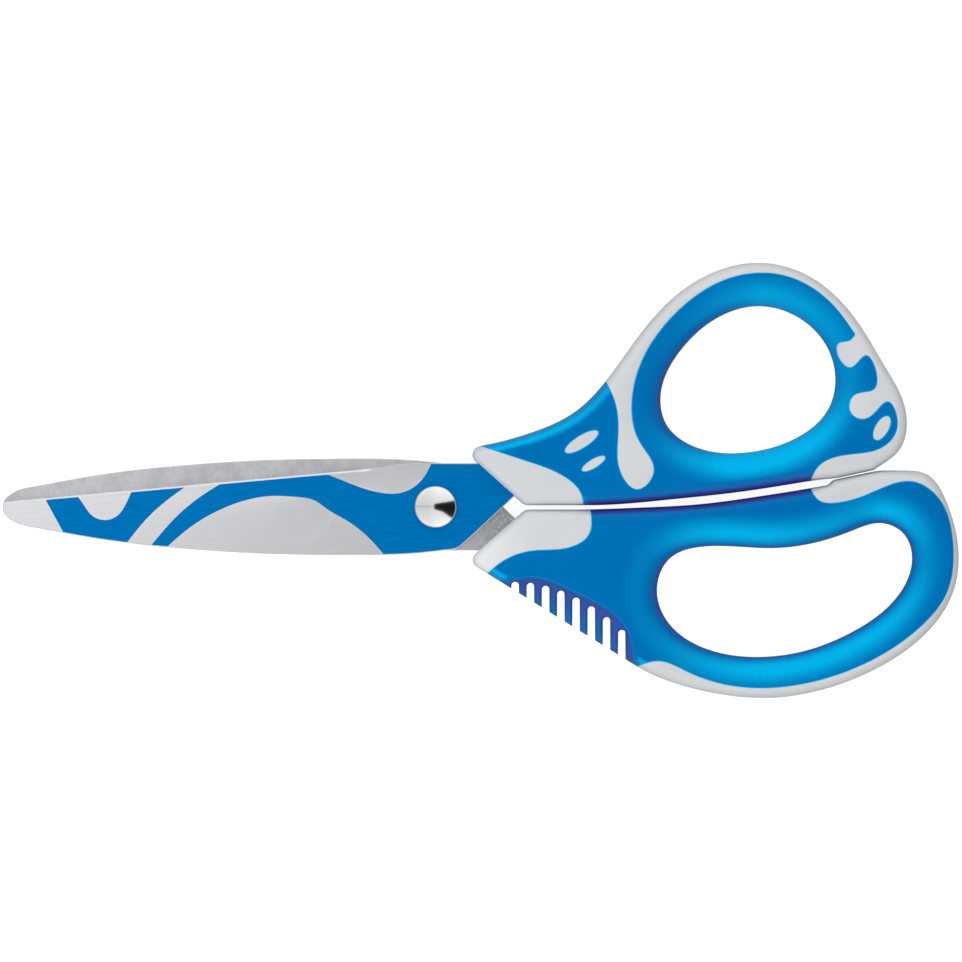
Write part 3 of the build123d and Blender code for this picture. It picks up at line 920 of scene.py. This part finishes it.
def blend(tree, factor, first, second):
    """Colour between two others, which are plain colours or sockets."""
    node = add(tree, "Mix", data_type="RGBA")
    for number, value in ((0, factor), (6, first), (7, second)):
        socket = node.inputs[number]
        if isinstance(value, bpy.types.NodeSocket):
            tree.links.new(value, socket)
        elif isinstance(value, tuple):
            socket.default_value = (*value, 1.0)
        else:
            socket.default_value = value
    return node.outputs[2]


def dress(tree, shader, colour, roughness, height, strength, depth):
    """Plugs a colour, a roughness and a relief of some depth, in metres, into a shader."""
    relief = add(tree, "Bump", {"Height": height, "Strength": strength, "Distance": depth})
    for socket, value in (("Base Color", colour), ("Roughness", roughness), ("Normal", relief.outputs[0])):
        tree.links.new(value, shader.inputs[socket])


BRUSHING = 0.08  # how much the outer faces' brushing is shrunk along the blade
DUST_ON_BLUE = (0.1, 0.3, 0.6)


def hard_white():
    """Satin white moulding: finely textured, slightly uneven, with a painted highlight that makes it paler at
    the lower nose, faintly handled.
    """
    material, tree, shader, place = finish_of("hard_white_moulding", Specular_IOR_Level=0.45)
    skin = use(tree, SKIN, {"Vector": place, "Grain size": 2300.0, "Sink": 0.5})
    marks = use(tree, HANDLING, {"Vector": place, "Specks": 0.35})
    plain = blend(tree, skin.outputs["Unevenness"], (0.755, 0.785, 0.81), (0.785, 0.81, 0.835))
    painted_shading = add(tree, "Attribute", attribute_name="painted_shading").outputs["Fac"]
    # painted highlight: paler towards the lower nose, where the light falls
    with_nose_highlight = blend(tree, painted_shading, plain, (0.93, 0.95, 0.97))
    marked = blend(tree, marks.outputs["Specks"], with_nose_highlight, (0.6, 0.62, 0.64))
    rough = span(tree, marks.outputs["Marks"], 0.0, 1.0, 0.34, 0.44)
    dress(tree, shader, marked, rough, skin.outputs["Height"], 0.25, 0.00006)
    return material


def soft_blue():
    """Blue rubber with light and shade painted into its colour: a painted highlight makes it lighter where it
    slopes gently, and painted shade makes it darker and redder down steep sides and in hollows.
    """
    sheen = {"Specular_IOR_Level": 0.4, "Specular_Tint": (0.0, 0.65, 1.0, 1.0)}
    material, tree, shader, place = finish_of("soft_blue_rubber", **sheen)
    skin = use(tree, SKIN, {"Vector": place, "Grain size": 3000.0, "Sink": 0.4})
    marks = use(tree, HANDLING, {"Vector": place, "Specks": 0.25})
    # the painted light and shade carried by the mesh
    painted_shading = add(tree, "Attribute", attribute_name="painted_shading").outputs["Fac"]
    plain = blend(tree, skin.outputs["Unevenness"], (0.0, 0.176, 0.53), (0.0, 0.187, 0.555))
    # painted highlight: gentle slopes lightened towards cyan
    light = blend(tree, span(tree, painted_shading, 0.0, 1.0), plain, (0.0, 0.54, 1.0))
    # painted shade: steep sides, hollows, the slot's edges and rear slopes darkened towards purple
    painted_light_and_shade = blend(tree, span(tree, painted_shading, 0.0, -1.0), light, (0.05, 0.055, 0.37))
    dusty = blend(tree, marks.outputs["Specks"], painted_light_and_shade, DUST_ON_BLUE)
    rough = span(tree, marks.outputs["Marks"], 0.0, 1.0, 0.4, 0.5)
    dress(tree, shader, dusty, rough, skin.outputs["Height"], 0.2, 0.00005)
    return material


def brushed_steel():
    """Stainless sheet brushed along the blade."""
    material, tree, shader, place = finish_of("brushed_blade_steel", Metallic=1.0, Anisotropic=0.3)
    lines = use(tree, LINES, {"Vector": place, "Length": BRUSHING})
    marks = use(tree, HANDLING, {"Vector": place, "Specks": 0.3})
    plain = blend(tree, lines.outputs["Streaks"], (0.84, 0.845, 0.875), (0.88, 0.885, 0.915))
    marked = blend(tree, marks.outputs["Specks"], plain, (0.5, 0.5, 0.52))
    streaky = span(tree, lines.outputs["Streaks"], 0.0, 1.0, 0.42, 0.34)
    rough = maths(tree, "ADD", streaky, maths(tree, "MULTIPLY", marks.outputs["Marks"], 0.06))
    dress(tree, shader, marked, rough, lines.outputs["Height"], 0.2, 0.00002)
    return material


def blue_lacquer():
    """Thin blue lacquer that follows the brushed steel under it."""
    sheen = {"Specular_IOR_Level": 0.35, "Specular_Tint": (0.0, 0.6, 1.0, 1.0)}
    material, tree, shader, place = finish_of("blue_blade_lacquer", **sheen)
    lines = use(tree, LINES, {"Vector": place, "Length": BRUSHING})
    marks = use(tree, HANDLING, {"Vector": place, "Specks": 0.2})
    streaky = blend(tree, lines.outputs["Streaks"], (0.0, 0.166, 0.5), (0.0, 0.198, 0.56))
    marked = blend(tree, marks.outputs["Specks"], streaky, DUST_ON_BLUE)
    rough = span(tree, marks.outputs["Marks"], 0.0, 1.0, 0.36, 0.46)
    dress(tree, shader, marked, rough, lines.outputs["Height"], 0.12, 0.00002)
    return material


def ground_steel():
    """A blade's inner face: ground straight across, slightly cloudy, dull and speckled towards the tang."""
    material, tree, shader, place = finish_of("ground_inner_steel", Metallic=1.0)
    crosswise = {"Vector": place, "Rotation": (0.0, 0.0, math.radians(88))}
    turned_place = add(tree, "Mapping", crosswise, vector_type="POINT").outputs[0]
    lines = use(tree, LINES, {"Vector": turned_place, "Length": 0.25})
    marks = use(tree, HANDLING, {"Vector": place, "Specks": 0.6})
    across = add(tree, "SeparateXYZ", {0: place}).outputs["X"]
    towards_tang = span(tree, across, -0.004, 0.004)
    pitted = span(tree, noise(tree, place, 1900.0, 3.0, 0.65), 0.42, 0.62)
    plain = blend(tree, lines.outputs["Streaks"], (0.68, 0.695, 0.715), (0.72, 0.735, 0.755))
    speckled = blend(tree, pitted, (0.4, 0.41, 0.43), (0.64, 0.65, 0.68))
    base = blend(tree, towards_tang, plain, speckled)
    clouds = span(tree, noise(tree, place, 260.0, 4.0, 0.65), 0.4, 0.62, 0.0, 0.35)
    cloudy = blend(tree, clouds, base, (0.42, 0.42, 0.45))
    marked = blend(tree, marks.outputs["Specks"], cloudy, (0.3, 0.3, 0.32))
    rough = span(tree, lines.outputs["Streaks"], 0.0, 1.0, 0.48, 0.4)
    dress(tree, shader, marked, rough, lines.outputs["Height"], 0.2, 0.00003)
    return material


def chrome():
    """Bright plating on the screw: very slightly pebbled, with hairline polishing and faint handling."""
    material, tree, shader, place = finish_of("bright_chrome", Metallic=1.0)
    marks = use(tree, HANDLING, {"Vector": place, "Specks": 0.4})
    lines = use(tree, LINES, {"Vector": place, "Length": 0.3})
    marked = blend(tree, marks.outputs["Marks"], (0.73, 0.73, 0.735), (0.67, 0.67, 0.68))
    rough = span(tree, marks.outputs["Marks"], 0.0, 1.0, 0.13, 0.24)
    polished = maths(tree, "MULTIPLY", lines.outputs["Height"], 0.3)
    pebbled = maths(tree, "ADD", noise(tree, place, 2600.0, 3.0, 0.6), polished)
    dress(tree, shader, marked, rough, pebbled, 0.16, 0.00003)
    return material


def turned_nickel():
    """Nickel plate over turned steel: fine rings round the pivot, a little duller in patches."""
    material, tree, shader, place = finish_of("turned_nickel", Metallic=1.0)
    moved = {"Vector": place, "Location": (-PIVOT[0], -PIVOT[1], 0.0)}
    centred = add(tree, "Mapping", moved, vector_type="POINT").outputs[0]
    parts = add(tree, "SeparateXYZ", {0: centred})
    squares = [maths(tree, "POWER", parts.outputs[axis], 2.0) for axis in "XY"]
    radius = maths(tree, "SQRT", maths(tree, "ADD", *squares))
    along = add(tree, "CombineXYZ", {"X": 0.0, "Y": radius, "Z": parts.outputs["Z"]}).outputs[0]
    lines = use(tree, LINES, {"Vector": along, "Length": 0.02})
    marks = use(tree, HANDLING, {"Vector": place, "Specks": 0.5})
    plain = blend(tree, lines.outputs["Streaks"], (0.56, 0.555, 0.54), (0.66, 0.655, 0.64))
    marked = blend(tree, marks.outputs["Specks"], plain, (0.35, 0.34, 0.33))
    rough = span(tree, marks.outputs["Marks"], 0.0, 1.0, 0.26, 0.38)
    dress(tree, shader, marked, rough, lines.outputs["Height"], 0.3, 0.00002)
    return material


white, blue = hard_white(), soft_blue()
blade_finishes = [brushed_steel(), blue_lacquer(), ground_steel()]
for piece in (thumb_core, finger_core):
    piece.data.materials.append(white)
for piece in (thumb_grip, finger_grip):
    piece.data.materials.append(blue)
for piece in (front_blade, back_blade):
    for finish in blade_finishes:
        piece.data.materials.append(finish)
screw.data.materials.append(chrome())
nickel = turned_nickel()
for node in ("spring_washer", "pivot_nut"):
    for fitted in frame["nodes"][node].material_slots:
        fitted.material = nickel


# ------------------------------------------------------------------ pieces on their bodies

for piece, body, node, finish in (
    (thumb_core, "thumb_half", "thumb_handle_core", "hard_plastic"),
    (thumb_grip, "thumb_half", "thumb_handle_grip", "soft_grip"),
    (front_blade, "thumb_half", "front_blade", "blade_steel"),
    (finger_core, "finger_half", "finger_handle_core", "hard_plastic"),
    (finger_grip, "finger_half", "finger_handle_grip", "soft_grip"),
    (back_blade, "finger_half", "back_blade", "blade_steel"),
    (screw, "finger_half", "pivot_screw", "pivot_chrome"),
):
    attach(piece, body)
    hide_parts(node)


# ------------------------------------------------------------------ studio

FLOOR_DROP = 0.0001  # metres; so are the other lengths here
FLOOR_HALF = 4
CAMERA_HEIGHT = 2.6
CAMERA_AIM = 0.00004, -0.00012
FRAME_WIDTH = 0.2116  # width in view at the handles' parting plane
SENSOR_MM = 36
SHEET_HEIGHT = 0.5
SHEET_HALF = 1.5
SHEET_EDGE = 1.6
SLIT = 0.012
STRIP_RADIANCE = 8.0


def bare_material(name):
    """A new material with no nodes yet, and its node tree."""
    material = bpy.data.materials.new(name)
    material.use_nodes = True
    material.node_tree.nodes.clear()
    return material, material.node_tree


def white_floor():
    """A plain white sweep: nearly self-lit to the eye, faintly shadowed, and dim grey to everything else."""
    material, tree = bare_material("white_sweep")
    matt = add(tree, "BsdfDiffuse", {"Color": (0.35, 0.35, 0.35, 1.0)})
    glow = add(tree, "Emission", {"Color": (1.0, 1.0, 1.0, 1.0), "Strength": 0.93})
    seen = add(tree, "AddShader", {0: matt.outputs[0], 1: glow.outputs[0]})
    dim = add(tree, "BsdfDiffuse", {"Color": (0.4, 0.4, 0.4, 1.0)})
    direct = add(tree, "LightPath").outputs["Is Camera Ray"]
    shown = add(tree, "MixShader", {0: direct, 1: dim.outputs[0], 2: seen.outputs[0]})
    add(tree, "OutputMaterial", {"Surface": shown.outputs[0]})
    return material


def panel(name, corner, along, outward, radiance):
    """A rectangular soft light spanned by two edges from one corner. The camera doesn't see it."""
    corner, along, outward = Vector(corner), Vector(along), Vector(outward)
    light = bpy.data.lights.new(name, "AREA")
    light.shape = "RECTANGLE"
    light.size, light.size_y = along.length, outward.length
    light.energy = radiance * math.pi * along.length * outward.length
    across = along.normalized() * math.copysign(1, along.cross(outward).z)
    down = outward.normalized()
    lamp = placed(name, light)
    lamp.matrix_world = Matrix((across, down, across.cross(down))).transposed().to_4x4()
    lamp.location = corner + (along + outward) / 2
    lamp.visible_camera = False
    return lamp


def soft_sheet_finish():
    """A lit diffuser, brighter towards its outer edge and towards the rear."""
    material, tree = bare_material("lit_diffuser")
    place = tree.nodes.new("ShaderNodeTexCoord").outputs["Object"]
    parts = add(tree, "SeparateXYZ", {0: place}).outputs
    outward = span(tree, maths(tree, "ABSOLUTE", parts["Y"]), 0.0, SHEET_HALF, 0.91, 1.5)
    rearward = span(tree, parts["X"], -0.25, 0.05, 0.92, 1.08)
    strength = maths(tree, "MULTIPLY", outward, rearward)
    glow = add(tree, "Emission", {"Color": (1.0, 1.0, 1.0, 1.0), "Strength": strength})
    add(tree, "OutputMaterial", {"Surface": glow.outputs[0]})
    return material


def flat_sheet(name, corners, height, finish):
    """A flat sheet of the studio's own, from its corners in plan."""
    mesh = bpy.data.meshes.new(name)
    mesh.from_pydata([(x, y, height) for x, y in corners], [], [tuple(range(len(corners)))])
    mesh.materials.append(finish)
    sheet = placed(name, mesh)
    return sheet


floor_corners = [(x * FLOOR_HALF, y * FLOOR_HALF) for x, y in ((-1, -1), (1, -1), (1, 1), (-1, 1))]
flat_sheet("sweep", floor_corners, -FLOOR_DROP, white_floor())

# Two overhead diffusers with a dark slit between them, narrow to the front and opening to the rear. The far
# one is given as it is, and the near one with its Y turned over.
diffuser = soft_sheet_finish()
for name, side, opening in (
    ("far", 1, [(-0.03, 0.08), (0.33, 0.145), (1.16, 0.38), (SHEET_HALF, 0.47)]),
    ("near", -1, [(-0.03, 0.08), (0.18, 0.14), (1.0, 0.72), (SHEET_HALF, 1.1)]),
):
    inner_side = [(-SHEET_HALF, SLIT), (-0.06, SLIT / 3), *opening]
    corners = [(x, side * y) for x, y in (*inner_side, (SHEET_HALF, SHEET_EDGE), (-SHEET_HALF, SHEET_EDGE))]
    flat_sheet(f"{name}_diffuser", corners, SHEET_HEIGHT, diffuser).visible_camera = False
    strip = (-0.5, side * 0.95, 0.2), (1.2, 0, 0), (0, side * 0.1, 0.25)
    panel(f"edge_strip_{name}", *strip, STRIP_RADIANCE)


def dim_room():
    """Surroundings that are nearly black above and pale round the horizon."""
    made = bpy.data.worlds.new("studio")
    made.use_nodes = True
    tree = made.node_tree
    way = add(tree, "SeparateXYZ", {0: tree.nodes.new("ShaderNodeTexCoord").outputs["Generated"]})
    grey = span(tree, way.outputs["Z"], 0.2, 0.42, 0.85, 0.008)
    tree.links.new(grey, tree.nodes["Background"].inputs["Color"])
    return made


bpy.context.scene.world = dim_room()
bpy.context.scene.view_settings.view_transform = "Standard"
bpy.context.scene.view_settings.look = "None"

lens = bpy.data.cameras.new("camera")
lens.sensor_width = SENSOR_MM
lens.lens = SENSOR_MM * (CAMERA_HEIGHT - MIDDLE * MM) / FRAME_WIDTH
lens.clip_end = 20
camera = placed("camera", lens)
camera.location = (*CAMERA_AIM, CAMERA_HEIGHT)
bpy.context.scene.camera = camera
